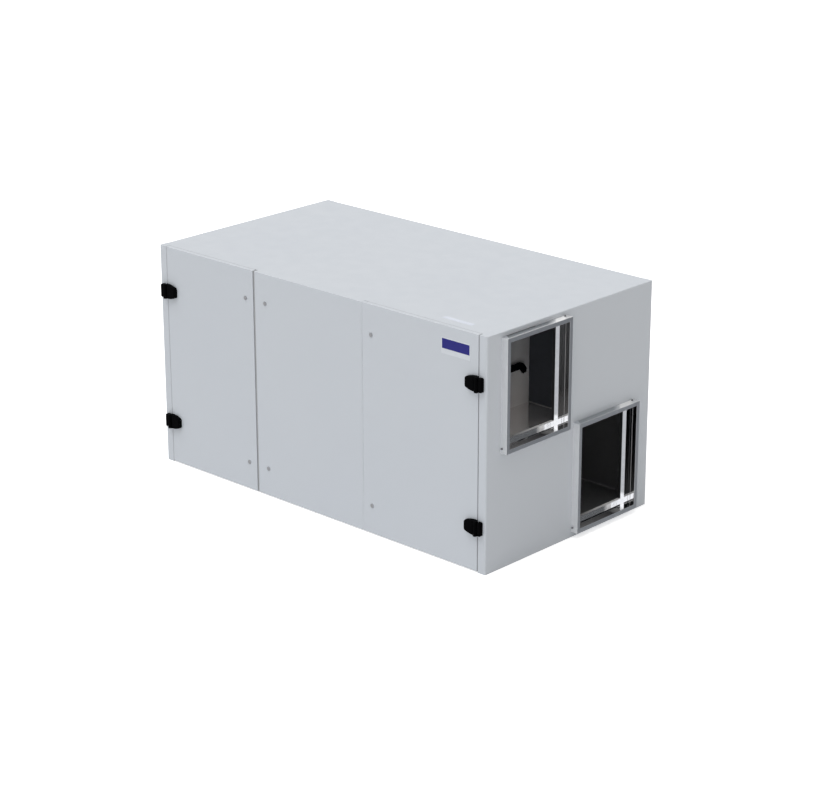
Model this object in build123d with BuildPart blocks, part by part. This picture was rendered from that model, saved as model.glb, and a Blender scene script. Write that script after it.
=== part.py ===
from build123d import *
import os

os.makedirs("parts", exist_ok=True)

# Casing, in millimetres. X runs along the front, Y towards the back, Z up.
# The origin is the centre of the casing's footprint.
casing_length = 2094
casing_depth = 1138
casing_height = 1100
wall = 50
corner_round = 4
front_corner_round = 8
panel_round = 1.5

# Front panels and the joints between them
strip_width = 44
left_joint_from_left = 652
right_joint_from_right = 744
left_joint_gap = 12
right_joint_gap = 6
door_gap = 5
leaf_thickness = 20
plug_clearance = 10
mullion_width = 50
mullion_depth = 50

# Duct frames, and the stepped openings behind them
duct_width = 395
duct_height = 488
frame_face = 20
frame_projection = 36
upper_frame_from_front = 93
upper_frame_from_top = 23
lower_frame_from_back = 113
lower_frame_from_bottom = 27
frame_round = 1
recess_depth = 34
rim_width = 13.5
recess_chamfer = 1.5

# Inside walls
liner_thickness = 20
partition_from_front = 641
bulkhead_from_end = 308
inner_front_clearance = 25

# Hinges: a bowed door half with two knuckles and the pin, and a lower post half between them
hinge_centre_low = 215
hinge_centre_high = 880
door_half_height = 71
door_half_end_height = 44
door_half_reach = 68
door_half_corner = 11
door_half_edge = 8
post_half_height = 65
post_half_reach = 30
post_half_corner = 6
post_half_edge = 5
hinge_leaf_thickness = 20
end_knuckle_height = 19
knuckle_radius = 9
knuckle_end_gap = 0.5
knuckle_side_gap = 2
pin_offset = 17
pin_radius = 4
pin_running_gap = 0.1

# Quarter-turn locks
lock_flange_radius = 10
lock_flange_height = 3
lock_barrel_radius = 8
lock_hole_clearance = 0.3
lock_recess_radius = 6.5
lock_recess_depth = 2
lock_from_top = 142
lock_from_bottom = 140
door_lock_from_joint = 57
cover_lock_from_joint = 74
tongue_width = 16
tongue_length = 38
tongue_thickness = 3

# Pull handles on the bulkheads
handle_grip = 148
handle_drop = 32
handle_shoulder = 24
handle_width = 30
handle_thickness = 10
handle_stand_off = 15
handle_post_radius = 7
handle_bend = 20
handle_from_partition = 54
handle_above_deck = 198

# Planes and lines that several pieces share
right_x = casing_length / 2
left_x = -right_x
inner_x = right_x - wall
front_y = -casing_depth / 2
back_y = casing_depth / 2
inner_back_y = back_y - wall
casing_front_y = front_y + leaf_thickness + door_gap
inner_top_z = casing_height - wall
left_joint_x = left_x + left_joint_from_left
right_joint_x = right_x - right_joint_from_right
hinge_x = right_x - strip_width - door_gap / 2
hinge_y = front_y - pin_offset
deck_top_z = casing_height - upper_frame_from_top - frame_face - duct_height
partition_y = front_y + partition_from_front
inner_front_y = front_y + wall + inner_front_clearance
upper_duct_y = front_y + upper_frame_from_front + frame_face + duct_width / 2
lower_duct_y = back_y - lower_frame_from_back - frame_face - duct_width / 2
aperture_width = duct_width - 2 * rim_width
aperture_height = duct_height - 2 * rim_width
upper_duct_z = casing_height - upper_frame_from_top - frame_face - duct_height / 2
lower_duct_z = lower_frame_from_bottom + frame_face + duct_height / 2
duct_centres = {"upper": (upper_duct_y, upper_duct_z), "lower": (lower_duct_y, lower_duct_z)}


def save(piece, name):
    piece.part.label = name
    export_step(piece.part, f"parts/{name}.step")


# A plain panel between two faces in each direction
def slab(x_range, y_range, z_range):
    with BuildPart() as panel:
        with BuildSketch(Plane.XY.offset(z_range[0])):
            with Locations((min(x_range), y_range[0])):
                Rectangle(abs(x_range[1] - x_range[0]), y_range[1] - y_range[0], align=Align.MIN)
        extrude(amount=z_range[1] - z_range[0])
    return panel


# Floor and top, between the end walls and up to the doors' backs
floor_panel = slab((-inner_x, inner_x), (casing_front_y, inner_back_y), (0, wall))
save(floor_panel, "floor_panel")

top_depth = (casing_front_y, inner_back_y)
left_top_panel = slab((-inner_x, right_joint_x), top_depth, (inner_top_z, casing_height))
save(left_top_panel, "left_top_panel")
right_top_panel = slab((right_joint_x, inner_x), top_depth, (inner_top_z, casing_height))
save(right_top_panel, "right_top_panel")

# Back, in two panels that meet on the same line as the top's
for side, panel_x in (("left", (-inner_x, right_joint_x)), ("right", (right_joint_x, inner_x))):
    with BuildPart() as back_panel:
        with BuildSketch(Plane.XZ.offset(-inner_back_y)):
            with Locations((panel_x[0], 0)):
                Rectangle(panel_x[1] - panel_x[0], casing_height, align=Align.MIN)
        extrude(amount=-wall)
        top_edges = back_panel.edges().filter_by(Axis.X).group_by(Axis.Y)[-1].sort_by(Axis.Z)
        fillet(top_edges[-1], corner_round)
    save(back_panel, f"{side}_back_panel")

# End walls, each with an upper and a lower duct opening
for side, sign in (("left", -1), ("right", 1)):
    with BuildPart() as end_wall:
        with BuildSketch(Plane.YZ.offset(sign * right_x)):
            with Locations((front_y + wall, 0)):
                Rectangle(casing_depth - wall, casing_height, align=Align.MIN)
            with Locations(*duct_centres.values()):
                Rectangle(aperture_width, aperture_height, mode=Mode.SUBTRACT)
        extrude(amount=-sign * wall)
        outer_face = end_wall.faces().sort_by(Axis.X)[-1 if sign > 0 else 0]
        top_edge = outer_face.edges().filter_by(Axis.Y).sort_by(Axis.Z)[-1]
        back_edge = outer_face.edges().filter_by(Axis.Z).sort_by(Axis.Y)[-1]
        fillet([top_edge, back_edge], corner_round)
        with BuildSketch(Plane.YZ.offset(sign * right_x)):
            with Locations(*duct_centres.values()):
                Rectangle(duct_width, duct_height)
        extrude(amount=-sign * recess_depth, mode=Mode.SUBTRACT)
        outer_face = end_wall.faces().sort_by(Axis.X)[-1 if sign > 0 else 0]
        for opening in outer_face.inner_wires():
            chamfer(opening.edges(), recess_chamfer)
    save(end_wall, f"{side}_end_wall")

# Front corner posts, with a rebate that the door's leaf closes into
for side, sign in (("left", -1), ("right", 1)):
    with BuildPart() as post:
        with BuildSketch():
            with BuildLine():
                Polyline(
                    (sign * right_x, front_y),
                    (sign * (right_x - strip_width), front_y),
                    (sign * (right_x - strip_width), casing_front_y),
                    (sign * inner_x, casing_front_y),
                    (sign * inner_x, front_y + wall),
                    (sign * right_x, front_y + wall),
                    close=True,
                )
            make_face()
        extrude(amount=casing_height)
        strip_edges = post.edges().filter_by(Axis.Z).group_by(Axis.Y)[0].sort_by(Axis.X)
        fillet(strip_edges[-1 if sign > 0 else 0], front_corner_round)
        fillet(strip_edges[0 if sign > 0 else -1], panel_round)
    save(post, f"front_{side}_post")

# Mullions behind the front's two joints
mullion_y = (casing_front_y, casing_front_y + mullion_depth)
for side, joint_x in (("left", left_joint_x), ("right", right_joint_x)):
    mullion_x = (joint_x - mullion_width / 2, joint_x + mullion_width / 2)
    mullion = slab(mullion_x, mullion_y, (wall, inner_top_z))
    save(mullion, f"{side}_mullion")


# An outer leaf over the whole opening, a plug that fills it, and two lock holes
def front_panel(leaf_x, plug_x, leaf_back, lock_x):
    with BuildPart() as panel:
        with BuildSketch(Plane.XZ.offset(-front_y)):
            with Locations((leaf_x[0], door_gap)):
                Rectangle(leaf_x[1] - leaf_x[0], casing_height - door_gap, align=Align.MIN)
        extrude(amount=-leaf_back)
        fillet(panel.edges().group_by(Axis.Y)[0], panel_round)
        with BuildSketch(Plane.XZ.offset(-front_y)):
            with Locations((plug_x[0], wall + plug_clearance)):
                Rectangle(plug_x[1] - plug_x[0], plug_height, align=Align.MIN)
        extrude(amount=-wall)
        with BuildSketch(Plane.XZ.offset(-front_y)):
            with Locations(*[(lock_x, z) for z in lock_heights.values()]):
                Circle(lock_barrel_radius + lock_hole_clearance)
        extrude(amount=-wall, mode=Mode.SUBTRACT)
    return panel


plug_height = casing_height - 2 * (wall + plug_clearance)
lock_heights = {"lower": lock_from_bottom, "upper": casing_height - lock_from_top}
hinge_side = right_x - strip_width - door_gap
plug_hinge_side = inner_x - plug_clearance
half_mullion = mullion_width / 2 + plug_clearance

left_door_lock_x = left_joint_x - door_lock_from_joint
cover_lock_x = left_joint_x + cover_lock_from_joint
right_door_lock_x = right_joint_x + door_lock_from_joint

left_door = front_panel(
    (-hinge_side, left_joint_x - left_joint_gap / 2),
    (-plug_hinge_side, left_joint_x - half_mullion),
    leaf_thickness,
    left_door_lock_x,
)
save(left_door, "left_door")

right_door = front_panel(
    (right_joint_x + right_joint_gap / 2, hinge_side),
    (right_joint_x + half_mullion, plug_hinge_side),
    leaf_thickness,
    right_door_lock_x,
)
save(right_door, "right_door")

middle_cover = front_panel(
    (left_joint_x + left_joint_gap / 2, right_joint_x - right_joint_gap / 2),
    (left_joint_x + half_mullion, right_joint_x - half_mullion),
    leaf_thickness + door_gap,
    cover_lock_x,
)
save(middle_cover, "middle_cover")

# Locks: a flanged barrel with a key recess, and its tongue turned down behind the panel
lock_places = {
    "left_door": left_door_lock_x,
    "middle_cover": cover_lock_x,
    "right_door": right_door_lock_x,
}
for panel_name, lock_x in lock_places.items():
    for level, lock_z in lock_heights.items():
        with BuildPart() as lock:
            with BuildSketch(Plane.XZ.offset(-front_y)):
                with Locations((lock_x, lock_z)):
                    Circle(lock_flange_radius)
            extrude(amount=lock_flange_height)
            flange_rim = lock.edges().filter_by(GeomType.CIRCLE).group_by(Axis.Y)[0]
            fillet(flange_rim, lock_flange_height / 3)
            with BuildSketch(Plane.XZ.offset(-front_y)):
                with Locations((lock_x, lock_z)):
                    Circle(lock_barrel_radius)
            extrude(amount=-(wall + tongue_thickness))
            with BuildSketch(Plane.XZ.offset(-front_y - wall)):
                with Locations((lock_x, lock_z)):
                    Rectangle(tongue_width, tongue_length, align=(Align.CENTER, Align.MAX))
            extrude(amount=-tongue_thickness)
            with BuildSketch(Plane.XZ.offset(-front_y + lock_flange_height)):
                with Locations((lock_x, lock_z)):
                    RegularPolygon(lock_recess_radius, 3)
            extrude(amount=-lock_recess_depth, mode=Mode.SUBTRACT)
        save(lock, f"{panel_name}_{level}_lock")

# Hinges over the joints between the doors and the posts
leaf_start = knuckle_radius + knuckle_side_gap
middle_knuckle_height = door_half_height - 2 * (end_knuckle_height + knuckle_end_gap)
hinge_centres = {"lower": hinge_centre_low, "upper": hinge_centre_high}
web_y = front_y - hinge_leaf_thickness / 2

for side, sign in (("left", -1), ("right", 1)):
    pin_x = sign * hinge_x
    for level, centre_z in hinge_centres.items():
        bottom_z = centre_z - door_half_height / 2

        with BuildPart() as door_half:
            with BuildSketch(Plane.XZ.offset(-front_y)) as door_half_outline:
                with BuildLine():
                    near_x = pin_x - sign * leaf_start
                    far_x = pin_x - sign * door_half_reach
                    near_top = (near_x, centre_z + door_half_height / 2)
                    near_bottom = (near_x, centre_z - door_half_height / 2)
                    far_top = (far_x, centre_z + door_half_end_height / 2)
                    far_bottom = (far_x, centre_z - door_half_end_height / 2)
                    TangentArc(near_top, far_top, tangent=(-sign, 0))
                    Line(far_top, far_bottom)
                    TangentArc(near_bottom, far_bottom, tangent=(-sign, 0))
                    Line(near_bottom, near_top)
                make_face()
                far_corners = door_half_outline.vertices().sort_by(Axis.X)
                fillet(far_corners[:2] if sign > 0 else far_corners[-2:], door_half_corner)
            extrude(amount=hinge_leaf_thickness)
            fillet(door_half.edges().group_by(Axis.Y)[0], door_half_edge)
            for knuckle_z in (bottom_z, centre_z + middle_knuckle_height / 2 + knuckle_end_gap):
                with BuildSketch(Plane.XY.offset(knuckle_z)):
                    with Locations((pin_x, hinge_y)):
                        Circle(knuckle_radius)
                    with Locations((pin_x - sign * leaf_start / 2, web_y)):
                        Rectangle(leaf_start, hinge_leaf_thickness)
                extrude(amount=end_knuckle_height)
            with BuildSketch(Plane.XY.offset(bottom_z)):
                with Locations((pin_x, hinge_y)):
                    Circle(pin_radius)
            extrude(amount=door_half_height)
        save(door_half, f"{side}_{level}_hinge_door_half")

        with BuildPart() as post_half:
            with BuildSketch(Plane.XZ.offset(-front_y)) as post_half_outline:
                with Locations((pin_x + sign * (leaf_start + post_half_reach) / 2, centre_z)):
                    Rectangle(post_half_reach - leaf_start, post_half_height)
                far_corners = post_half_outline.vertices().sort_by(Axis.X)
                fillet(far_corners[-2:] if sign > 0 else far_corners[:2], post_half_corner)
            extrude(amount=hinge_leaf_thickness)
            fillet(post_half.edges().group_by(Axis.Y)[0], post_half_edge)
            with BuildSketch(Plane.XY.offset(centre_z - middle_knuckle_height / 2)):
                with Locations((pin_x, hinge_y)):
                    Circle(knuckle_radius)
                with Locations((pin_x + sign * leaf_start / 2, web_y)):
                    Rectangle(leaf_start, hinge_leaf_thickness)
                with Locations((pin_x, hinge_y)):
                    Circle(pin_radius + pin_running_gap, mode=Mode.SUBTRACT)
            extrude(amount=middle_knuckle_height)
        save(post_half, f"{side}_{level}_hinge_post_half")

# Duct frames on both ends
for side, sign in (("left", -1), ("right", 1)):
    for level, centre in duct_centres.items():
        with BuildPart() as duct_frame:
            with BuildSketch(Plane.YZ.offset(sign * right_x)):
                with Locations(centre):
                    Rectangle(duct_width + 2 * frame_face, duct_height + 2 * frame_face)
                    Rectangle(duct_width, duct_height, mode=Mode.SUBTRACT)
            extrude(amount=sign * frame_projection)
            face_edges = duct_frame.edges().group_by(Axis.X)[-1 if sign > 0 else 0]
            fillet(face_edges, frame_round)
        save(duct_frame, f"{side}_{level}_duct_frame")

# Inside walls, the same at both ends
for side, sign, joint_x in (("left", -1, left_joint_x), ("right", 1, right_joint_x)):
    cross_x = (joint_x - liner_thickness / 2, joint_x + liner_thickness / 2)
    cross_y = (casing_front_y + mullion_depth, inner_back_y)
    cross_wall = slab(cross_x, cross_y, (wall, inner_top_z))
    save(cross_wall, f"{side}_cross_wall")

    cross_face_x = joint_x + sign * liner_thickness / 2
    deck_x = sorted((cross_face_x, sign * inner_x))
    deck_z = (deck_top_z - liner_thickness, deck_top_z)
    deck = slab(deck_x, (casing_front_y + mullion_depth, inner_back_y), deck_z)
    save(deck, f"{side}_deck")

    partition = slab(deck_x, (partition_y, partition_y + liner_thickness), (deck_top_z, inner_top_z))
    save(partition, f"{side}_partition")

    bulkhead_face_x = sign * (right_x - bulkhead_from_end)
    bulkhead_x = sorted((bulkhead_face_x, bulkhead_face_x - sign * liner_thickness))
    bulkhead = slab(bulkhead_x, (inner_front_y, partition_y), (deck_top_z, inner_top_z))
    save(bulkhead, f"{side}_bulkhead")

    handle_end_y = partition_y - handle_from_partition
    handle_grip_z = deck_top_z + handle_above_deck
    handle_foot_z = handle_grip_z - handle_drop
    handle_far_y = handle_end_y - 2 * handle_shoulder - handle_grip
    handle_x = bulkhead_face_x + sign * handle_stand_off
    with BuildPart() as handle:
        with BuildSketch(Plane.YZ.offset(handle_x)):
            with BuildLine():
                FilletPolyline(
                    (handle_far_y, handle_foot_z),
                    (handle_far_y + handle_shoulder, handle_grip_z),
                    (handle_end_y - handle_shoulder, handle_grip_z),
                    (handle_end_y, handle_foot_z),
                    radius=handle_bend,
                )
            trace(line_width=handle_width)
        extrude(amount=sign * handle_thickness)
        with BuildSketch(Plane.YZ.offset(bulkhead_face_x)):
            with Locations((handle_far_y, handle_foot_z), (handle_end_y, handle_foot_z)):
                Circle(handle_post_radius)
        extrude(amount=sign * (handle_stand_off + handle_thickness))
    save(handle, f"{side}_bulkhead_handle")
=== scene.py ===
import math

import bmesh
import bpy
from mathutils import Matrix, Vector


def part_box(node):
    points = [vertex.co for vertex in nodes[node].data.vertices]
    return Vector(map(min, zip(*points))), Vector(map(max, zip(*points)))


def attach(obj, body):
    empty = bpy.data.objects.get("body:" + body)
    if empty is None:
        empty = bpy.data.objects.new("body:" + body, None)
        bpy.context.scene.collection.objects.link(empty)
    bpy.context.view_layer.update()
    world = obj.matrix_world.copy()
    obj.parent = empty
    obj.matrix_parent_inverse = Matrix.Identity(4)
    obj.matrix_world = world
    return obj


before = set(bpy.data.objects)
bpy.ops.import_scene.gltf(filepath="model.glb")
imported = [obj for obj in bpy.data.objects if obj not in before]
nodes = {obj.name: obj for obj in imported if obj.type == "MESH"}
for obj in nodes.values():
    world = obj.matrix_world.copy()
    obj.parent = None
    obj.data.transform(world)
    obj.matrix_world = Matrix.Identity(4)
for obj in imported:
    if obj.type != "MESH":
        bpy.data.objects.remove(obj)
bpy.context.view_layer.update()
print("stage: frame loaded,", len(nodes), "nodes")

mm = 0.001
white = (1.0, 1.0, 1.0)
black = (0.0, 0.0, 0.0)
sides = {"left": -1, "right": 1}
levels = ("upper", "lower")

# Planes of the casing, read from the frame
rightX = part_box("right_end_wall")[1].x
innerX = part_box("right_end_wall")[0].x
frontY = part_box("right_door")[0].y
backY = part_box("right_back_panel")[1].y
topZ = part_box("right_top_panel")[1].z
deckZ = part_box("right_deck")[1].z
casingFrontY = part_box("right_top_panel")[0].y
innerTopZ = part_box("right_top_panel")[0].z
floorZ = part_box("floor_panel")[1].z


# Helpers for node trees
def addNode(tree, kind, inputs=None, **settings):
    node = tree.nodes.new(kind)
    for key, value in settings.items():
        setattr(node, key, value)
    for key, value in (inputs or {}).items():
        if isinstance(value, bpy.types.NodeSocket):
            tree.links.new(value, node.inputs[key])
        else:
            node.inputs[key].default_value = value
    return node


def emptyMaterial(name):
    material = bpy.data.materials.new(name)
    material.use_nodes = True
    tree = material.node_tree
    tree.nodes.clear()
    return material, tree, addNode(tree, "ShaderNodeTexCoord").outputs["Object"]


def newMaterial(name):
    material, tree, place = emptyMaterial(name)
    shader = addNode(tree, "ShaderNodeBsdfPrincipled")
    addNode(tree, "ShaderNodeOutputMaterial", {"Surface": shader.outputs[0]})
    return material, tree, shader, place


def coordinates(tree, place):
    return addNode(tree, "ShaderNodeSeparateXYZ", {0: place}).outputs


def noise(tree, place, scale, detail=2.0, stretch=None):
    if stretch:
        place = addNode(tree, "ShaderNodeMapping", {"Vector": place, "Scale": stretch}).outputs[0]
    inputs = {"Vector": place, "Scale": scale, "Detail": detail}
    return addNode(tree, "ShaderNodeTexNoise", inputs).outputs[0]


def crystals(tree, place, scale):
    return addNode(tree, "ShaderNodeTexVoronoi", {"Vector": place, "Scale": scale}).outputs["Color"]


# Maps values between fromLow and fromHigh to between low and high: by default, the middle of a noise
def ramp(tree, value, low, high, fromLow=0.35, fromHigh=0.65):
    limits = {"Value": value, "From Min": fromLow, "From Max": fromHigh, "To Min": low, "To Max": high}
    return addNode(tree, "ShaderNodeMapRange", limits).outputs[0]


def mixValue(tree, factor, first, second):
    return addNode(tree, "ShaderNodeMix", {0: factor, 2: first, 3: second}).outputs[0]


def opaque(colour):
    return colour if isinstance(colour, bpy.types.NodeSocket) else (*colour, 1.0)


# Each colour is a socket, or plain red, green and blue
def mixColour(tree, factor, first, second):
    inputs = {0: factor, 6: opaque(first), 7: opaque(second)}
    return addNode(tree, "ShaderNodeMix", inputs, data_type="RGBA").outputs[2]


def mathNode(tree, operation, first, second=0.0):
    return addNode(tree, "ShaderNodeMath", {0: first, 1: second}, operation=operation).outputs[0]


def plus(tree, first, second):
    return mathNode(tree, "ADD", first, second)


def minus(tree, first, second):
    return mathNode(tree, "SUBTRACT", first, second)


def times(tree, first, second):
    return mathNode(tree, "MULTIPLY", first, second)


def larger(tree, first, second):
    return mathNode(tree, "MAXIMUM", first, second)


def isAbove(tree, value, limit):
    return mathNode(tree, "GREATER_THAN", value, limit)


def isBelow(tree, value, limit):
    return mathNode(tree, "LESS_THAN", value, limit)


def bump(tree, shader, height, strength, distance):
    inputs = {"Height": height, "Strength": strength, "Distance": distance}
    tree.links.new(addNode(tree, "ShaderNodeBump", inputs).outputs[0], shader.inputs["Normal"])


# The stepped duct openings: the frame's face, the rim inside it and the recess in front of the rim
opening = {"faceWidth": 20 * mm, "rimWidth": 13.5 * mm, "recessDepth": 34 * mm}

# Casing panels: satin paint outside and galvanised steel inside, told apart by place; the casing's inner
# steel has a painted shade
paint = {
    "colour": (0.525, 0.553, 0.592),
    "shade": (0.516, 0.545, 0.587),
    "shadeScale": 1.3,
    "roughness": (0.36, 0.44),
    "roughnessScale": 12.0,
    "peelScale": 700.0,
    "peelStrength": 0.15,
    "peelDepth": 0.05 * mm,
    "skinDepth": 0.3 * mm,
    "doorSkinDepth": 19.5 * mm,
    "edgeDepth": 4.5 * mm,
}
zinc = {
    "colour": (0.90, 0.905, 0.915),
    "shade": (0.86, 0.865, 0.88),
    "spangleScale": 60.0,
    "roughness": (0.05, 0.08),
    "rimRoughness": 0.16,
    "roughnessScale": 40.0,
    # Painted shade: the casing's inner steel is far darker than the same steel on the door trays
    "inside": (0.215, 0.217, 0.228),
    "tray": (0.56, 0.565, 0.58),
    "dullRoughness": (0.34, 0.42),
    "dullMetal": 0.72,
    "edge": (0.02, 0.021, 0.023),
    "edgeMargin": 0.4 * mm,
    # Painted shadow and light on the lip along each opening's foot, and painted light on the rim's foot
    "lipPaintedShadow": (0.10, 0.10, 0.105),
    "lipPaintedLight": (0.90, 0.90, 0.91),
    "lipFade": (360 * mm, 110 * mm),
    "paintedLightPatch": (0.93, 0.93, 0.94),
    "paintedLightFade": (125 * mm, 95 * mm),
    "paintedLightEnd": 70 * mm,
}


# A value that differs between the lower and the upper duct opening
def byLevel(tree, z, lower, upper):
    between = (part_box("right_lower_duct_frame")[1].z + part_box("right_upper_duct_frame")[0].z) / 2
    return plus(tree, times(tree, isAbove(tree, z, between), upper - lower), lower)


# The inner edges of the openings: a dark trim up the back edge, and a lip along the foot in painted
# shadow at its front that turns to painted light at the back. The rim's foot has a matt pale pool of
# painted light.
def openingEdges(tree, y, z):
    inset = opening["faceWidth"] + opening["rimWidth"]
    backEdges = [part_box(f"right_{level}_duct_frame")[1].y - inset for level in ("lower", "upper")]
    feet = [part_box(f"right_{level}_duct_frame")[0].z + inset for level in ("lower", "upper")]
    fromBack = minus(tree, byLevel(tree, z, *backEdges), y)
    aboveFoot = minus(tree, z, byLevel(tree, z, *feet))
    onBackEdge = isBelow(tree, fromBack, zinc["edgeMargin"])
    onFoot = isBelow(tree, aboveFoot, zinc["edgeMargin"])
    fade = ramp(tree, fromBack, 0.0, 1.0, *zinc["lipFade"])
    lipLightAndShadow = mixColour(tree, fade, zinc["lipPaintedShadow"], zinc["lipPaintedLight"])
    paintedLightPatch = ramp(tree, fromBack, 0.0, 1.0, *zinc["paintedLightFade"])
    paintedLightPatch = times(tree, paintedLightPatch, isAbove(tree, fromBack, zinc["paintedLightEnd"]))
    return onBackEdge, onFoot, lipLightAndShadow, times(tree, paintedLightPatch, onFoot)


def panelFinishAndLight(name, innerSteelColour):
    material, tree, shader, place = newMaterial(name)
    x, y, z = coordinates(tree, place)
    x = mathNode(tree, "ABSOLUTE", x)
    outward = isAbove(tree, x, rightX - paint["skinDepth"])
    front = isBelow(tree, y, frontY + paint["doorSkinDepth"])
    back = isAbove(tree, y, backY - paint["edgeDepth"])
    top = isAbove(tree, z, topZ - paint["edgeDepth"])
    painted = larger(tree, larger(tree, outward, front), larger(tree, back, top))

    # The steel is bright from the rim outwards and matt inside; on the casing panels the inner colour is
    # a painted shade
    rimX = rightX - opening["recessDepth"]
    bright = isAbove(tree, x, rimX - zinc["edgeMargin"])
    onRim = isBelow(tree, x, rimX + zinc["edgeMargin"])
    behindRim = isBelow(tree, x, rimX - zinc["edgeMargin"])
    trimmed = times(tree, behindRim, isAbove(tree, x, innerX + zinc["edgeMargin"]))
    # Painted shadow and light on the lip, and painted light on the rim's foot
    onBackEdge, onFoot, lipLightAndShadow, paintedLightPatch = openingEdges(tree, y, z)
    onTrim = times(tree, trimmed, onBackEdge)
    onLip = times(tree, trimmed, onFoot)
    paintedLightPatch = times(tree, paintedLightPatch, times(tree, bright, onRim))

    cloud = ramp(tree, noise(tree, place, paint["shadeScale"]), 0.0, 1.0)
    paintColour = mixColour(tree, cloud, paint["colour"], paint["shade"])
    spangle = crystals(tree, place, zinc["spangleScale"])
    brightColour = mixColour(tree, spangle, zinc["colour"], zinc["shade"])
    zincColour = mixColour(tree, bright, innerSteelColour, brightColour)
    zincColour = mixColour(tree, paintedLightPatch, zincColour, zinc["paintedLightPatch"])
    zincColour = mixColour(tree, onTrim, zincColour, zinc["edge"])
    zincColour = mixColour(tree, onLip, zincColour, lipLightAndShadow)
    tree.links.new(mixColour(tree, painted, zincColour, paintColour), shader.inputs["Base Color"])

    metal = mixValue(tree, bright, zinc["dullMetal"], 1.0)
    dulled = larger(tree, paintedLightPatch, larger(tree, onTrim, onLip))
    bare = minus(tree, 1.0, larger(tree, painted, dulled))
    tree.links.new(times(tree, metal, bare), shader.inputs["Metallic"])

    grain = noise(tree, place, zinc["roughnessScale"])
    brightRough = mixValue(tree, onRim, ramp(tree, grain, *zinc["roughness"]), zinc["rimRoughness"])
    zincRough = mixValue(tree, bright, ramp(tree, grain, *zinc["dullRoughness"]), brightRough)
    paintRough = ramp(tree, noise(tree, place, paint["roughnessScale"]), *paint["roughness"])
    tree.links.new(mixValue(tree, painted, zincRough, paintRough), shader.inputs["Roughness"])
    bump(tree, shader, noise(tree, place, paint["peelScale"]), paint["peelStrength"], paint["peelDepth"])
    return material


# Bare galvanised sheet: faint crystals, and fine rolling streaks along the sheet
sheet = {
    "cloudScale": 9.0,
    "streakScale": 30.0,
    "streakDetail": 3.0,
    "bumpStrength": 0.05,
    "bumpDepth": 0.02 * mm,
}


def galvanised(name, colour, shade, roughness, spangleScale, stretch=(1, 1, 1), metal=1.0, shadedEdgeY=None):
    material, tree, shader, place = newMaterial(name)
    shader.inputs["Metallic"].default_value = metal
    cloud = times(tree, crystals(tree, place, spangleScale), noise(tree, place, sheet["cloudScale"]))
    skin = mixColour(tree, cloud, colour, shade)
    # The strip along this edge takes the painted-shade colour of the casing's inner steel
    if shadedEdgeY is not None:
        onShadedEdge = isBelow(tree, coordinates(tree, place)[1], shadedEdgeY + zinc["edgeMargin"])
        skin = mixColour(tree, onShadedEdge, skin, zinc["inside"])
    tree.links.new(skin, shader.inputs["Base Color"])
    streak = noise(tree, place, sheet["streakScale"], sheet["streakDetail"], stretch)
    tree.links.new(ramp(tree, streak, *roughness), shader.inputs["Roughness"])
    bump(tree, shader, streak, sheet["bumpStrength"], sheet["bumpDepth"])
    return material


# Moulded plastic, rubber and print: a fine grain over a slightly uneven colour
mould = {
    "cloudScale": 25.0,
    "lighter": 1.15,
    "grainDetail": 3.0,
    "bumpStrength": 0.15,
    "bumpDepth": 0.08 * mm,
}


def moulded(name, colour, roughness=(0.6, 0.75), grainScale=500.0, specular=0.3):
    material, tree, shader, place = newMaterial(name)
    shader.inputs["Specular IOR Level"].default_value = specular
    cloud = noise(tree, place, mould["cloudScale"])
    lighter = tuple(mould["lighter"] * c for c in colour)
    tree.links.new(mixColour(tree, cloud, colour, lighter), shader.inputs["Base Color"])
    grain = noise(tree, place, grainScale, mould["grainDetail"])
    tree.links.new(ramp(tree, grain, *roughness), shader.inputs["Roughness"])
    bump(tree, shader, grain, mould["bumpStrength"], mould["bumpDepth"])
    return material


# Duct frames: satin outside and shiny inside, with painted light and shade. The upper side is darker,
# painted shade from a mitre at its front corner, with a painted highlight streak beside the face and
# painted light towards its back, to a matt pale pool of painted highlight near its back corner. The two
# levels are lit and shaded copies that differ in painted shade, painted light and metalness.
frameSkinAndLight = {
    "colour": (0.80, 0.82, 0.85),
    "shade": (0.77, 0.79, 0.82),
    "spangleScale": 90.0,
    "metal": {"upper": 0.98, "lower": 0.93},
    "roughness": (0.36, 0.40),
    "roughnessScale": 30.0,
    "grainScale": 60.0,
    "insideColour": (0.90, 0.905, 0.915),
    "insideRoughness": 0.06,
    "edge": 0.5 * mm,
    # Painted light on the front outer side
    "frontSidePaintedLight": (0.99, 0.99, 0.99),
    # Painted shade, highlight and light on the upper side, set apart for each level
    "topPaintedShade": {"upper": (0.40, 0.42, 0.44), "lower": (0.50, 0.52, 0.54)},
    "backTopPaintedLight": (0.90, 0.90, 0.90),
    "paintedHighlightStreak": (0.66, 0.67, 0.68),
    "highlightStreakWidth": 8 * mm,
    "mitreStart": 7 * mm,
    "mitreSlope": 0.67,
    "mitreSoft": 4 * mm,
    "slant": 1.06,
    "paintedLightFromBack": {"upper": (169 * mm, 127 * mm), "lower": (189 * mm, 150 * mm)},
    "paintedHighlight": (0.78, 0.78, 0.78),
    "paintedHighlightFromBack": {
        "upper": (122 * mm, 111 * mm, 57 * mm, 47 * mm),
        "lower": (150 * mm, 138 * mm, 61 * mm, 49 * mm),
    },
    # Painted shade on the front of the foot inside, darker towards the back
    "sillFrontShade": (0.20, 0.20, 0.205),
    "sillBackShade": (0.03, 0.03, 0.033),
    "sillFade": (390 * mm, 110 * mm),
    "sillShadeReach": (150 * mm, 60 * mm),
}


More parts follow.
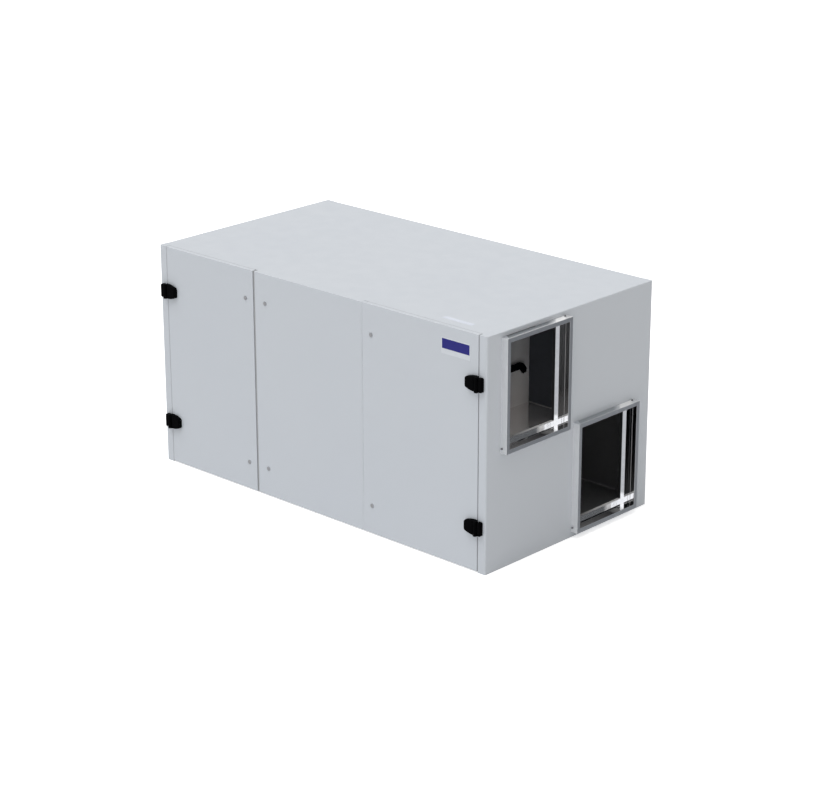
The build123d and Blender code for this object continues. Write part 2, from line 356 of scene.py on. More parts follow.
def frameFinishAndLight(level):
    material, tree, shader, place = newMaterial(f"{level}_duct_frame_zinc_and_painted_light")
    low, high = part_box(f"right_{level}_duct_frame")
    x, y, z = coordinates(tree, place)
    spangle = crystals(tree, place, frameSkinAndLight["spangleScale"])
    colour = mixColour(tree, spangle, frameSkinAndLight["colour"], frameSkinAndLight["shade"])
    # The front side is painted lighter than the other outer sides: painted light
    onFrontSide = isBelow(tree, y, low.y + frameSkinAndLight["edge"])
    colour = mixColour(tree, onFrontSide, colour, frameSkinAndLight["frontSidePaintedLight"])

    # The upper side's painted shade, highlight streak and painted light, from its front mitre to its back
    # corner
    behindFace = minus(tree, high.x, mathNode(tree, "ABSOLUTE", x))
    mitre = plus(tree, times(tree, behindFace, frameSkinAndLight["mitreSlope"]), frameSkinAndLight["mitreStart"])
    pastMitre = minus(tree, minus(tree, y, low.y), mitre)
    pastMitre = ramp(tree, pastMitre, 0.0, 1.0, 0.0, frameSkinAndLight["mitreSoft"])
    onTop = times(tree, isAbove(tree, z, high.z - frameSkinAndLight["edge"]), pastMitre)
    along = minus(tree, y, times(tree, behindFace, frameSkinAndLight["slant"]))
    paler = ramp(tree, along, 0.0, 1.0, *(high.y - d for d in frameSkinAndLight["paintedLightFromBack"][level]))
    nearFace = isBelow(tree, behindFace, frameSkinAndLight["highlightStreakWidth"])
    topPaintedShade = mixColour(tree, nearFace, frameSkinAndLight["topPaintedShade"][level], frameSkinAndLight["paintedHighlightStreak"])
    topPaintedShade = mixColour(tree, paler, topPaintedShade, frameSkinAndLight["backTopPaintedLight"])
    colour = mixColour(tree, onTop, colour, topPaintedShade)
    # A matt pale pool of painted highlight near the back corner
    start, full, fade, stop = (high.y - d for d in frameSkinAndLight["paintedHighlightFromBack"][level])
    rise = ramp(tree, along, 0.0, 1.0, start, full)
    fall = ramp(tree, along, 1.0, 0.0, fade, stop)
    paintedHighlight = times(tree, onTop, times(tree, rise, fall))
    colour = mixColour(tree, paintedHighlight, colour, frameSkinAndLight["paintedHighlight"])

    # The inside is shiny, but for the front of its foot, which is matt and in painted shade that darkens
    # towards the back
    reach = opening["faceWidth"] - frameSkinAndLight["edge"]
    inside = isAbove(tree, y, low.y + reach)
    for limit in (
        isBelow(tree, y, high.y - reach),
        isAbove(tree, z, low.z + reach),
        isBelow(tree, z, high.z - reach),
    ):
        inside = times(tree, inside, limit)
    colour = mixColour(tree, inside, colour, frameSkinAndLight["insideColour"])
    onSill = isBelow(tree, z, low.z + opening["faceWidth"] + frameSkinAndLight["edge"])
    onSill = times(tree, onSill, inside)
    innerBack = high.y - opening["faceWidth"]
    sillShadeReach = ramp(tree, y, 1.0, 0.0, *(innerBack - d for d in frameSkinAndLight["sillShadeReach"]))
    onSill = times(tree, onSill, sillShadeReach)
    fade = ramp(tree, y, 0.0, 1.0, *(innerBack - d for d in frameSkinAndLight["sillFade"]))
    sillShade = mixColour(tree, fade, frameSkinAndLight["sillFrontShade"], frameSkinAndLight["sillBackShade"])
    colour = mixColour(tree, onSill, colour, sillShade)
    tree.links.new(colour, shader.inputs["Base Color"])

    metal = mixValue(tree, inside, frameSkinAndLight["metal"][level], 1.0)
    bare = minus(tree, 1.0, larger(tree, paintedHighlight, onSill))
    tree.links.new(times(tree, metal, bare), shader.inputs["Metallic"])
    satin = ramp(tree, noise(tree, place, frameSkinAndLight["roughnessScale"]), *frameSkinAndLight["roughness"])
    rough = mixValue(tree, inside, satin, frameSkinAndLight["insideRoughness"])
    tree.links.new(rough, shader.inputs["Roughness"])
    grain = noise(tree, place, frameSkinAndLight["grainScale"])
    bump(tree, shader, grain, sheet["bumpStrength"], sheet["bumpDepth"])
    return material


# The inner wall that faces the duct: a grey with painted light and shade, paler to its foot and to the
# partition, and in painted shade at its front
bulkheadShading = {
    "topPaintedShade": (0.365, 0.385, 0.41),
    "footPaintedLight": (0.82, 0.80, 0.80),
    "frontPaintedShade": (0.17, 0.173, 0.18),
    "paleUpTo": 40 * mm,
    "greyFrom": 400 * mm,
    "darkUpTo": 100 * mm,
    "paleFrom": 260 * mm,
    "shade": (0.64, 0.86),
    "shadeFromPartition": (125 * mm, 65 * mm),
    "blotchScale": 14.0,
    "blotchStrength": 0.12,
    "roughness": (0.6, 0.7),
    "grainScale": 600.0,
    "specular": 0.15,
}


def bulkheadShadedGrey(name):
    material, tree, shader, place = newMaterial(name)
    shader.inputs["Specular IOR Level"].default_value = bulkheadShading["specular"]
    y, z = coordinates(tree, place)[1:]
    frontEdge, backEdge = (corner.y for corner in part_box("right_bulkhead"))
    # Painted light and shade: paler towards the foot, with random blotches, darker away from the
    # partition and darkest at the front
    level = ramp(tree, z, 0.0, 1.0, deckZ + bulkheadShading["paleUpTo"], deckZ + bulkheadShading["greyFrom"])
    blotches = noise(tree, place, bulkheadShading["blotchScale"])
    level = minus(tree, level, times(tree, blotches, bulkheadShading["blotchStrength"]))
    colour = mixColour(tree, level, bulkheadShading["footPaintedLight"], bulkheadShading["topPaintedShade"])
    shadePlaces = (backEdge - d for d in bulkheadShading["shadeFromPartition"])
    shade = ramp(tree, y, *bulkheadShading["shade"], *shadePlaces)
    colour = mixColour(tree, shade, black, colour)
    darkPlaces = (frontEdge + bulkheadShading["darkUpTo"], frontEdge + bulkheadShading["paleFrom"])
    inward = ramp(tree, y, 0.0, 1.0, *darkPlaces)
    colour = mixColour(tree, inward, bulkheadShading["frontPaintedShade"], colour)
    tree.links.new(colour, shader.inputs["Base Color"])
    grain = noise(tree, place, bulkheadShading["grainScale"], mould["grainDetail"])
    tree.links.new(ramp(tree, grain, *bulkheadShading["roughness"]), shader.inputs["Roughness"])
    bump(tree, shader, grain, mould["bumpStrength"], mould["bumpDepth"])
    return material


# The plainer finishes, of sheet metal and of moulded or printed things
sheetFinishes = {
    # The deck's front edge takes the casing's painted-shade inner colour
    "deck_zinc": {
        "colour": (1.0, 0.975, 0.97), "shade": (0.97, 0.945, 0.94), "roughness": (0.10, 0.14),
        "spangleScale": 45.0, "stretch": (1, 1, 0.1), "metal": 0.80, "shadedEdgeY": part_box("right_deck")[0].y,
    },
    "liner_zinc": {
        "colour": (0.45, 0.455, 0.47), "shade": (0.41, 0.415, 0.43), "roughness": (0.34, 0.42),
        "spangleScale": 45.0, "stretch": (1, 1, 0.1),
    },
    "lock_metal": {
        "colour": (0.47, 0.475, 0.49), "shade": (0.43, 0.435, 0.45), "roughness": (0.3, 0.36),
        "spangleScale": 400.0,
    },
    "screw_steel": {
        "colour": (0.20, 0.20, 0.21), "shade": (0.17, 0.17, 0.18), "roughness": (0.3, 0.4),
        "spangleScale": 300.0,
    },
    "rivet_steel": {
        "colour": (0.60, 0.61, 0.63), "shade": (0.55, 0.56, 0.58), "roughness": (0.25, 0.32),
        "spangleScale": 300.0,
    },
}
mouldedFinishes = {
    # The partition's near-black grey is a painted shade
    "partition_painted_shade": {
        "colour": (0.062, 0.067, 0.08), "roughness": (0.6, 0.7), "grainScale": 600.0, "specular": 0.15,
    },
    "hinge_black": {
        "colour": (0.0012, 0.0012, 0.0015), "roughness": (0.6, 0.7),
        "grainScale": 900.0, "specular": 0.025,
    },
    "handle_black": {
        "colour": (0.0012, 0.0012, 0.0015), "roughness": (0.6, 0.7),
        "grainScale": 700.0, "specular": 0.02,
    },
    # The key's grey is partly a painted shade of the lock's recess
    "key_grey_and_recess_shade": {
        "colour": (0.32, 0.32, 0.33), "roughness": (0.5, 0.6), "grainScale": 900.0, "specular": 0.2,
    },
    # Dark seals, and the painted shadow lines on the upper frames
    "dark_seal_and_shadow_line": {"colour": (0.10, 0.102, 0.11)},
    "seal_grey": {"colour": (0.25, 0.255, 0.265)},
    "seal_mid": {"colour": (0.29, 0.295, 0.305)},
    "seal_pale": {"colour": (0.42, 0.435, 0.46)},
    "seal_paint": {"colour": (0.50, 0.525, 0.56), "roughness": (0.5, 0.6)},
    "bead_grey": {"colour": (0.26, 0.26, 0.27), "roughness": (0.5, 0.6)},
    # The laps' paleness is a painted edge highlight
    "pale_lap_and_highlight": {"colour": (0.36, 0.36, 0.37), "roughness": (0.5, 0.6)},
    "label_white": {
        "colour": (0.55, 0.575, 0.615), "roughness": (0.3, 0.4), "grainScale": 300.0, "specular": 0.5,
    },
    "label_blue": {
        "colour": (0.016, 0.016, 0.17), "roughness": (0.4, 0.5), "grainScale": 300.0, "specular": 0.25,
    },
    "sticker_pale": {
        "colour": (0.55, 0.585, 0.66), "roughness": (0.2, 0.28), "grainScale": 300.0, "specular": 0.5,
    },
}
finishes = {
    # The casing panels take the painted-shade inner colour, the doors the plain colour of their trays
    "panel": panelFinishAndLight("panel_paint_zinc_and_painted_shade", zinc["inside"]),
    "door": panelFinishAndLight("door_paint_and_zinc", zinc["tray"]),
    "upper_duct_frame": frameFinishAndLight("upper"),
    "lower_duct_frame": frameFinishAndLight("lower"),
    "bulkhead": bulkheadShadedGrey("bulkhead_painted_light_and_shade"),
}
finishes.update({name: galvanised(name, **look) for name, look in sheetFinishes.items()})
finishes.update({name: moulded(name, **look) for name, look in mouldedFinishes.items()})
print("stage: finishes made")

# Which finish a node has, by the end of its name; the others are casing panels
finishByEnding = {
    "_hinge_door_half": "hinge_black",
    "_hinge_post_half": "hinge_black",
    "_lock": "lock_metal",
    "_upper_duct_frame": "upper_duct_frame",
    "_lower_duct_frame": "lower_duct_frame",
    "_handle": "handle_black",
    "_bulkhead": "bulkhead",
    "_deck": "deck_zinc",
    "_partition": "partition_painted_shade",
    "_cross_wall": "liner_zinc",
    "_door": "door",
    "_cover": "door",
}


def finishOf(name):
    for ending, finish in finishByEnding.items():
        if name.endswith(ending):
            return finishes[finish]
    return finishes["panel"]


for name, node in nodes.items():
    if not node.material_slots:
        node.data.materials.append(finishOf(name))
    for slot in node.material_slots:
        slot.material = finishOf(name)


# Helpers for meshes: each finish is given by its name
def meshObject(name, build, *finishNames):
    mesh = bpy.data.meshes.new(name)
    shape = bmesh.new()
    build(shape)
    bmesh.ops.recalc_face_normals(shape, faces=shape.faces)
    shape.to_mesh(mesh)
    shape.free()
    for finish in finishNames:
        mesh.materials.append(finishes[finish])
    return sceneObject(name, mesh)


def sceneObject(name, data):
    made = bpy.data.objects.new(name, data)
    bpy.context.scene.collection.objects.link(made)
    return made


def placePiece(piece, body):
    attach(piece, body)


bevel = {"segments": 2, "profile": 0.5}


def roundedBar(shape, low, high, radius, material=0):
    low, high = Vector(low), Vector(high)
    place = Matrix.Translation((low + high) / 2) @ Matrix.Diagonal((*(high - low), 1.0))
    before = set(shape.faces)
    made = bmesh.ops.create_cube(shape, size=1.0, matrix=place)
    edges = list({edge for vertex in made["verts"] for edge in vertex.link_edges})
    bmesh.ops.bevel(shape, geom=edges, offset=radius, affect="EDGES", **bevel)
    for face in shape.faces:
        if face not in before:
            face.material_index = material


# A closed rectangular ring that faces along Y: corners are (x, z) pairs, and depth is its two places on Y
def ring(shape, depth, outer, inner):
    loops = []
    for y in depth:
        for (x0, z0), (x1, z1) in (outer, inner):
            corners = ((x0, z0), (x1, z0), (x1, z1), (x0, z1))
            loops.append([shape.verts.new((x, y, z)) for x, z in corners])
    frontOuter, frontInner, backOuter, backInner = loops
    for first, second in (
        (frontOuter, frontInner),
        (backOuter, backInner),
        (frontOuter, backOuter),
        (frontInner, backInner),
    ):
        for i in range(len(first)):
            j = (i + 1) % len(first)
            shape.faces.new((first[i], first[j], second[j], second[i]))


# Gaskets that the doors close on, and seals in the gaps between the front's panels
seals = {
    "doorGap": 5.0 * mm,
    "thickness": 4.0 * mm,
    "overlap": 6.0 * mm,
    "plugGap": 0.5 * mm,
    "belowTop": 0.4 * mm,
    "aboveFloor": 6.0 * mm,
    "behindFace": 2.5 * mm,
    "paleBehindFace": 1.2 * mm,
    "jointBehindFace": 0.4 * mm,
    "hingeGap": 1.2 * mm,
    "leftJointGap": 2.2 * mm,
    "rightJointGap": 0.6 * mm,
    "radius": 0.5 * mm,
}
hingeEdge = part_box("right_door")[1].x
postInnerX = hingeEdge + seals["doorGap"]
doorOpenings = {
    "left": (-innerX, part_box("left_mullion")[0].x),
    "right": (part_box("right_mullion")[1].x, innerX),
}


def buildGaskets(shape):
    depth = (casingFrontY - seals["thickness"], casingFrontY)
    gap, overlap = seals["plugGap"], seals["overlap"]
    for side, (x0, x1) in doorOpenings.items():
        inner = ((x0 + gap, floorZ + gap), (x1 - gap, innerTopZ - gap))
        outerX = (-postInnerX, x1 + overlap) if side == "left" else (x0 - overlap, postInnerX)
        outer = ((outerX[0], seals["aboveFloor"]), (outerX[1], topZ - seals["belowTop"]))
        ring(shape, depth, outer, inner)


def sealBar(shape, x0, x1, behindFace, material):
    low = (min(x0, x1), frontY + behindFace, seals["aboveFloor"])
    high = (max(x0, x1), casingFrontY - seals["thickness"], topZ - seals["belowTop"])
    roundedBar(shape, low, high, seals["radius"], material)


gapSealFinishes = ("seal_grey", "seal_mid", "seal_pale", "seal_paint")


def buildGapSeals(shape):
    grey, mid, pale, painted = range(len(gapSealFinishes))
    gapX = (hingeEdge + seals["hingeGap"], postInnerX)
    sealBar(shape, *gapX, seals["behindFace"], grey)
    sealBar(shape, *(-x for x in gapX), seals["paleBehindFace"], pale)
    coverX = [corner.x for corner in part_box("middle_cover")]
    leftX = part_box("left_door")[1].x + seals["leftJointGap"]
    sealBar(shape, leftX, coverX[0], seals["behindFace"], mid)
    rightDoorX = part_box("right_door")[0].x - seals["rightJointGap"]
    sealBar(shape, coverX[1], rightDoorX, seals["jointBehindFace"], painted)


placePiece(meshObject("door_gaskets", buildGaskets, "seal_pale"), "casing")
placePiece(meshObject("gap_seals", buildGapSeals, *gapSealFinishes), "casing")
print("stage: seals made")

# Trims of the duct frames: a thin dark strip where the top of each upper frame meets the wall, which is a
# painted shadow line, and inside each frame a lap whose paleness is a painted edge highlight and a dark
# flush seal over the joint with the end wall
frameTrim = {
    "shadowLineHeight": 1.2 * mm,
    "shadowLineDepth": 1.6 * mm,
    "shadowLineBeyondTop": 0.4 * mm,
    "shadowLineFromFront": 30 * mm,
    "shadowLineFromBack": 215 * mm,
    "lapBehindFace": 22.5 * mm,
    "lapWidth": 3.0 * mm,
    "lapHeight": 0.3 * mm,
    "lapSeat": 0.3 * mm,
    "jointWidth": 1.8 * mm,
    "jointSeat": 1.4 * mm,
    "jointHeight": 0.05 * mm,
    "roundShare": 0.3,
}


# Painted shadow lines: thin dark strips along the top of each upper frame
def buildShadowLines(shape):
    for side, sign in sides.items():
        low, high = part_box(f"{side}_upper_duct_frame")
        x0, x1 = sorted((sign * rightX, sign * (rightX + frameTrim["shadowLineDepth"])))
        y0, y1 = low.y + frameTrim["shadowLineFromFront"], high.y - frameTrim["shadowLineFromBack"]
        z0, z1 = high.z - frameTrim["shadowLineBeyondTop"], high.z + frameTrim["shadowLineHeight"]
        roundedBar(shape, (x0, y0, z0), (x1, y1, z1), frameTrim["roundShare"] * frameTrim["shadowLineHeight"])


# The laps' paleness is a painted edge highlight; the joint seals are dark
def buildLaps(shape):
    width = opening["faceWidth"]
    for side, sign in sides.items():
        for level in levels:
            low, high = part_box(f"{side}_{level}_duct_frame")
            lapX = max(abs(low.x), abs(high.x)) - frameTrim["lapBehindFace"]
            for material, (part, outX) in enumerate((("lap", lapX), ("joint", rightX))):
                x0, x1 = sorted((sign * outX, sign * (outX - frameTrim[f"{part}Width"])))
                seat, height = frameTrim[f"{part}Seat"], frameTrim[f"{part}Height"]
                frontPlaces = (low.y + width - seat, low.y + width + height)
                backPlaces = (high.y - width - height, high.y - width + seat)
                for y0, y1 in (frontPlaces, backPlaces):
                    corners = (x0, y0, low.z + width), (x1, y1, high.z - width)
                    roundedBar(shape, *corners, frameTrim["roundShare"] * height, material)


placePiece(meshObject("duct_frame_shadow_lines", buildShadowLines, "dark_seal_and_shadow_line"), "casing")
frameLaps = meshObject("duct_frame_laps", buildLaps, "pale_lap_and_highlight", "dark_seal_and_shadow_line")
placePiece(frameLaps, "casing")
print("stage: duct frame trims made")

# Pale sealing beads inside, along the foot of each partition and of the back wall
innerBead = {"size": 3.5 * mm, "sink": 0.5 * mm, "round": 1.5 * mm}


def buildInnerBeads(shape):
    size, sink = innerBead["size"], innerBead["sink"]
    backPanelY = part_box("right_back_panel")[0].y
    for side in sides:
        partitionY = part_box(f"{side}_partition")[0].y
        deckX = [corner.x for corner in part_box(f"{side}_deck")]
        for y, z in ((partitionY, deckZ), (backPanelY, floorZ)):
            low, high = (deckX[0], y - size, z - sink), (deckX[1], y + sink, z + size)
            roundedBar(shape, low, high, innerBead["round"])


placePiece(meshObject("inner_beads", buildInnerBeads, "bead_grey"), "casing")
print("stage: inner beads made")

# Heads on washers, one at each point, which look the way of the point's facing
washerSides = 20
floatInputs = ("Washer Radius", "Washer Thickness", "Head Radius", "Top Radius", "Head Height")


def headTree(name, material):
    tree = bpy.data.node_groups.new(name, "GeometryNodeTree")
    face = tree.interface
    face.new_socket("Geometry", in_out="INPUT", socket_type="NodeSocketGeometry")
    for label in floatInputs:
        face.new_socket(label, in_out="INPUT", socket_type="NodeSocketFloat")
    face.new_socket("Head Sides", in_out="INPUT", socket_type="NodeSocketInt")
    face.new_socket("Geometry", in_out="OUTPUT", socket_type="NodeSocketGeometry")
    given = addNode(tree, "NodeGroupInput").outputs
    thickness = given["Washer Thickness"]
    washer = addNode(
        tree, "GeometryNodeMeshCylinder",
        {"Vertices": washerSides, "Radius": given["Washer Radius"], "Depth": thickness},
    )
    head = addNode(
        tree, "GeometryNodeMeshCone",
        {
            "Vertices": given["Head Sides"], "Radius Bottom": given["Head Radius"],
            "Radius Top": given["Top Radius"], "Depth": given["Head Height"],
        },
    )
    both = addNode(tree, "GeometryNodeJoinGeometry")
    for solid, height in ((washer, times(tree, thickness, 0.5)), (head, thickness)):
        lift = addNode(tree, "ShaderNodeCombineXYZ", {"Z": height})
        inputs = {"Geometry": solid.outputs["Mesh"], "Translation": lift.outputs[0]}
        tree.links.new(addNode(tree, "GeometryNodeTransform", inputs).outputs[0], both.inputs[0])
    kind = "GeometryNodeInputNamedAttribute"
    facing = addNode(tree, kind, {"Name": "facing"}, data_type="FLOAT_VECTOR")
    turn = addNode(tree, "FunctionNodeAlignRotationToVector", {"Vector": facing.outputs[0]}, axis="Z")
    placed = addNode(
        tree, "GeometryNodeInstanceOnPoints",
        {"Points": given["Geometry"], "Instance": both.outputs[0], "Rotation": turn.outputs[0]},
    )
    real = addNode(tree, "GeometryNodeRealizeInstances", {"Geometry": placed.outputs[0]})
    inputs = {"Geometry": real.outputs[0], "Material": material}
    finished = addNode(tree, "GeometryNodeSetMaterial", inputs)
    tree.links.new(finished.outputs[0], addNode(tree, "NodeGroupOutput").inputs[0])
    return tree


def headsOnPoints(name, points, tree, sizes):
    mesh = bpy.data.meshes.new(name + "_points")
    mesh.from_pydata([point for point, facing in points], [], [])
    attribute = mesh.attributes.new("facing", "FLOAT_VECTOR", "POINT")
    for i, (point, facing) in enumerate(points):
        attribute.data[i].vector = facing
    source = sceneObject(name + "_points", mesh)
    modifier = source.modifiers.new("heads", "NODES")
    modifier.node_group = tree
    for item in tree.interface.items_tree:
        if item.in_out == "INPUT" and item.name in sizes:
            modifier[item.identifier] = sizes[item.name]
    bpy.context.view_layer.update()
    evaluated = source.evaluated_get(bpy.context.evaluated_depsgraph_get())
    made = bpy.data.meshes.new_from_object(evaluated)
    made.name = name
    source.modifiers.remove(modifier)
    bpy.data.objects.remove(source)
    return sceneObject(name, made)


# Screws in the outer sides of each duct frame, near two opposite corners
screws = {
    "fromPanel": 9 * mm,
    "fromCorner": 22 * mm,
    "sizes": {
        "Washer Radius": 4.7 * mm, "Washer Thickness": 1.2 * mm, "Head Radius": 4.0 * mm,
        "Top Radius": 3.4 * mm, "Head Height": 4.6 * mm, "Head Sides": 6,
    },
}
screwPoints = []
for side, sign in sides.items():
    for level in levels:
        low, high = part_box(f"{side}_{level}_duct_frame")
        x, inset = sign * (rightX + screws["fromPanel"]), screws["fromCorner"]
        screwPoints += [
            ((x, low.y, low.z + inset), (0, -1, 0)),
            ((x, low.y + inset, low.z), (0, 0, -1)),
            ((x, high.y - inset, high.z), (0, 0, 1)),
            ((x, high.y, high.z - inset), (0, 1, 0)),
        ]
screwTree = headTree("screw_heads", finishes["screw_steel"])
screwHeads = headsOnPoints("duct_frame_screws", screwPoints, screwTree, screws["sizes"])
placePiece(screwHeads, "casing")

# Rivets around the inner tray of each door, which is smaller all round than its opening
rivets = {
    "trayInset": 10 * mm,
    "fromEdge": 14 * mm,
    "pitch": 160 * mm,
    "sizes": {
        "Washer Radius": 3.6 * mm, "Washer Thickness": 0.5 * mm, "Head Radius": 2.6 * mm,
        "Top Radius": 1.4 * mm, "Head Height": 1.1 * mm, "Head Sides": 16,
    },
}
rivetTree = headTree("rivet_heads", finishes["rivet_steel"])


def evenly(start, stop, pitch):
    count = max(1, round((stop - start) / pitch))
    return [start + (stop - start) * i / count for i in range(count + 1)]


for side, (x0, x1) in doorOpenings.items():
    inset = rivets["trayInset"] + rivets["fromEdge"]
    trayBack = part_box(f"{side}_door")[1].y
    xs = evenly(x0 + inset, x1 - inset, rivets["pitch"])
    zs = evenly(floorZ + inset, innerTopZ - inset, rivets["pitch"])
    places = [(x, z) for x in xs for z in (zs[0], zs[-1])]
    places += [(x, z) for x in (xs[0], xs[-1]) for z in zs[1:-1]]
    rivetPoints = [((x, trayBack, z), (0, 1, 0)) for x, z in places]
    rivetHeads = headsOnPoints(f"{side}_door_rivets", rivetPoints, rivetTree, rivets["sizes"])
    placePiece(rivetHeads, f"{side}_door")
print("stage: screws and rivets made")

# The grey three-sided key on each lock, its grey partly a painted shade of the lock's recess, and the pin
# at its centre
keys = {
    "flangeRadius": 10 * mm,
    "faceHeight": 3 * mm,
    "sink": 0.2 * mm,
    "radius": 9 * mm,
    "height": 0.7 * mm,
    "sides": 3,
    "pinRadius": 1.6 * mm,
    "pinHeight": 1.6 * mm,
    "pinSides": 12,
}


def prism(shape, centre, radius, height, count):
    x, y, z = centre
    turns = [2 * math.pi * i / count - math.pi / 2 for i in range(count)]
    around = [(x + radius * math.cos(t), z + radius * math.sin(t)) for t in turns]
    near, far = ([shape.verts.new((u, y - depth, v)) for u, v in around] for depth in (0.0, height))
    for i in range(count):
        j = (i + 1) % count
        shape.faces.new((near[i], near[j], far[j], far[i]))
    shape.faces.new(near)
    shape.faces.new(far)


def buildKeys(panelName):
    def build(shape):
        for level in levels:
            low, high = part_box(f"{panelName}_{level}_lock")
            seatY = frontY - keys["faceHeight"] + keys["sink"]
            centre = ((low.x + high.x) / 2, seatY, high.z - keys["flangeRadius"])
            prism(shape, centre, keys["radius"], keys["height"], keys["sides"])
            prism(shape, centre, keys["pinRadius"], keys["pinHeight"], keys["pinSides"])
    return build


keyBodies = {"left_door": "left_door", "middle_cover": "casing", "right_door": "right_door"}
for panelName, body in keyBodies.items():
    lockKeys = meshObject(f"{panelName}_lock_keys", buildKeys(panelName), "key_grey_and_recess_shade")
    placePiece(lockKeys, body)
print("stage: lock keys made")

# A plain plate without lettering: a white plate with a blue field over a bare foot
plate = {
    "fieldFromHingeEdge": (51 * mm, 210.5 * mm),
    "fieldZ": (995.5 * mm, 1041 * mm),
    "margin": 5 * mm,
    "foot": 24 * mm,
    "thickness": 0.5 * mm,
    "fieldThickness": 0.35 * mm,
    "sink": 0.1 * mm,
    "round": 0.2 * mm,
}


def buildPlate(shape):
    x1, x0 = (hingeEdge - d for d in plate["fieldFromHingeEdge"])
    z0, z1 = plate["fieldZ"]
    rim, faceY = plate["margin"], frontY - plate["thickness"]
    low, high = (x0 - rim, faceY, z0 - plate["foot"]), (x1 + rim, frontY, z1 + rim)
    roundedBar(shape, low, high, plate["round"])
    low, high = (x0, faceY - plate["fieldThickness"], z0), (x1, faceY + plate["sink"], z1)
    roundedBar(shape, low, high, plate["round"], material=1)


doorPlate = meshObject("door_plate", buildPlate, "label_white", "label_blue")
placePiece(doorPlate, "right_door")

# A thin pale sticker lies on the top
sticker = {
    "x": (720 * mm, 890 * mm),
    "fromFront": (75 * mm, 102 * mm),
    "thickness": 0.3 * mm,
    "sink": 0.5 * mm,
    "round": 0.15 * mm,
}


def buildSticker(shape):
    y0, y1 = (frontY + d for d in sticker["fromFront"])
    x0, x1 = sticker["x"]
    low, high = (x0, y0, topZ - sticker["sink"]), (x1, y1, topZ + sticker["thickness"])
    roundedBar(shape, low, high, sticker["round"])


placePiece(meshObject("top_sticker", buildSticker, "sticker_pale"), "casing")
print("stage: plates made")

# Camera, fitted to the photograph
lens = {
    "place": (7.4345, -7.8538, 4.2831),
    "azimuth": 43.198,
    "elevation": 19.756,
    "roll": -0.107,
    "focalPixels": 2406.385,
    "imageWidth": 819,
    "sensor": 36.0,
}
azimuth, elevation = math.radians(lens["azimuth"]), math.radians(lens["elevation"])
back = Vector((
    math.sin(azimuth) * math.cos(elevation),
    -math.cos(azimuth) * math.cos(elevation),
    math.sin(elevation),
))
cameraData = bpy.data.cameras.new("camera")
cameraData.sensor_width = lens["sensor"]
cameraData.lens = lens["focalPixels"] * lens["sensor"] / lens["imageWidth"]
camera = sceneObject("camera", cameraData)
turn = (-back).to_track_quat("-Z", "Y").to_matrix() @ Matrix.Rotation(math.radians(lens["roll"]), 3, "Z")
camera.matrix_world = Matrix.Translation(lens["place"]) @ turn.to_4x4()
bpy.context.scene.camera = camera
print("stage: camera placed")

# Floor, world and the one broad lamp overhead
studio = {
    "floorSize": 60.0,
    "floorDrop": 0.5 * mm,
    "floorColour": (0.96, 0.96, 0.96),
    "floorShade": (0.95, 0.95, 0.95),
    "floorShadeScale": 0.4,
    "floorLift": 0.45,
    "ambient": 0.67,
    "ambientColour": (0.97, 0.985, 1.0),
    "ambientRight": (0.90, 0.88, 0.845),
    "towardLens": (1.3, 1.3, 1.3),
    "lowFront": (0.61, 0.62, 0.64),
    "lowBack": (0.155, 0.163, 0.178),
    "highBack": (0.12, 0.125, 0.13),
    "outwardFade": (0.0, 0.4),
    "behindFade": (-0.2, 0.2),
    "aboveFade": (-0.1, 0.1),
    "lampAim": (0.05, 0.33, -0.94),
    "lampSpread": 45.0,
    "lampPower": 1.60,
}


def floorFinish(name):
    material, tree, place = emptyMaterial(name)
    cloud = noise(tree, place, studio["floorShadeScale"])
    tone = mixColour(tree, cloud, studio["floorColour"], studio["floorShade"])
    diffuse = addNode(tree, "ShaderNodeBsdfDiffuse", {"Color": tone})
    seen = addNode(tree, "ShaderNodeLightPath").outputs["Is Camera Ray"]
    glow = addNode(tree, "ShaderNodeEmission", {"Strength": times(tree, seen, studio["floorLift"])})
    both = addNode(tree, "ShaderNodeAddShader", {0: diffuse.outputs[0], 1: glow.outputs[0]})
    addNode(tree, "ShaderNodeOutputMaterial", {"Surface": both.outputs[0]})
    return material


def buildFloor(shape):
    bmesh.ops.create_grid(shape, x_segments=1, y_segments=1, size=studio["floorSize"] / 2)
    bmesh.ops.translate(shape, verts=shape.verts, vec=(0, 0, -studio["floorDrop"]))


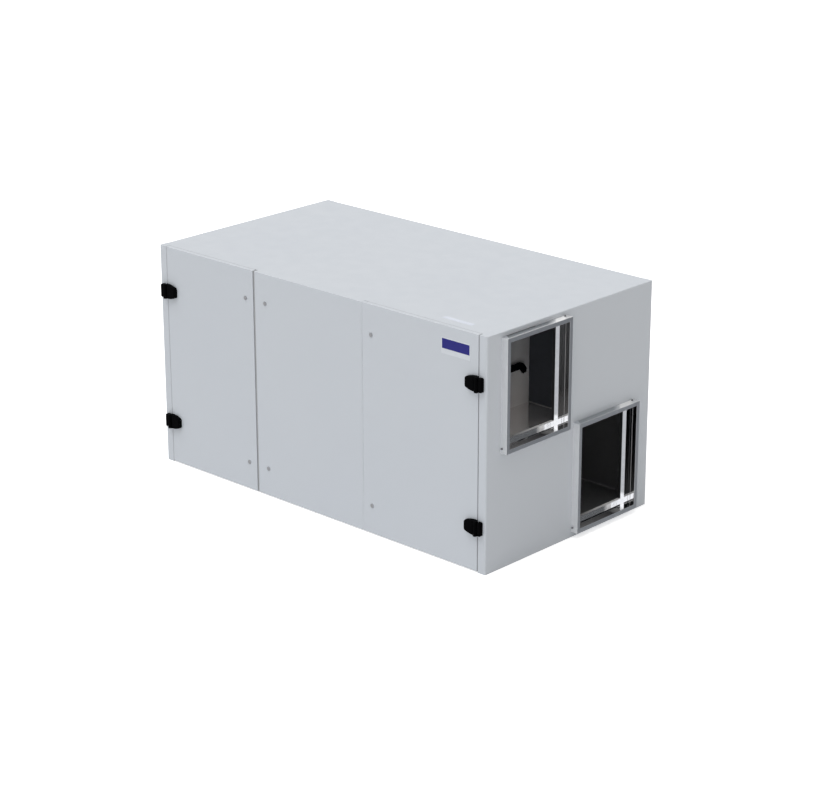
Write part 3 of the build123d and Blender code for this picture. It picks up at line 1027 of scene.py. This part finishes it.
finishes["studio_floor"] = floorFinish("studio_floor")
floor = meshObject("studio_floor", buildFloor, "studio_floor")
floor.visible_glossy = False

world = bpy.data.worlds.new("studio_world")
bpy.context.scene.world = world
world.use_nodes = True
worldTree = world.node_tree
worldTree.nodes.clear()
direction = addNode(worldTree, "ShaderNodeTexCoord").outputs["Generated"]
dx, dy, dz = coordinates(worldTree, direction)


def soft(value, low, high):
    limits = {"Value": value, "From Min": low, "From Max": high, "To Min": 0.0, "To Max": 1.0}
    return addNode(worldTree, "ShaderNodeMapRange", limits, interpolation_type="SMOOTHSTEP").outputs[0]


# What the bare metal mirrors: bright towards the camera, darker low down at both ends and behind
outward = soft(dx, *studio["outwardFade"])
endward = soft(mathNode(worldTree, "ABSOLUTE", dx), *studio["outwardFade"])
behind = soft(dy, *studio["behindFade"])
above = soft(dz, *studio["aboveFade"])
high = mixColour(worldTree, behind, studio["towardLens"], studio["highBack"])
low = mixColour(worldTree, behind, studio["lowFront"], studio["lowBack"])
high = mixColour(worldTree, outward, white, high)
low = mixColour(worldTree, endward, white, low)
mirrored = mixColour(worldTree, above, low, high)
leftTone, rightTone = (
    [studio["ambient"] * c for c in studio[colour]] for colour in ("ambientColour", "ambientRight")
)
ambientTone = mixColour(worldTree, outward, leftTone, rightTone)
rays = addNode(worldTree, "ShaderNodeLightPath").outputs
shine = larger(worldTree, rays["Is Glossy Ray"], rays["Is Transmission Ray"])
seenColour = mixColour(worldTree, shine, ambientTone, mirrored)
backdrop = mixColour(worldTree, rays["Is Camera Ray"], seenColour, white)
background = addNode(worldTree, "ShaderNodeBackground", {"Color": backdrop, "Strength": 1.0})
addNode(worldTree, "ShaderNodeOutputWorld", {"Surface": background.outputs[0]})

lampData = bpy.data.lights.new("overhead", "SUN")
lampData.energy = studio["lampPower"]
lampData.angle = math.radians(studio["lampSpread"])
lamp = sceneObject("overhead", lampData)
lamp.matrix_world = Vector(studio["lampAim"]).to_track_quat("-Z", "Y").to_matrix().to_4x4()
lamp.visible_glossy = False
bpy.context.scene.view_settings.view_transform = "Standard"
print("stage: studio lit")
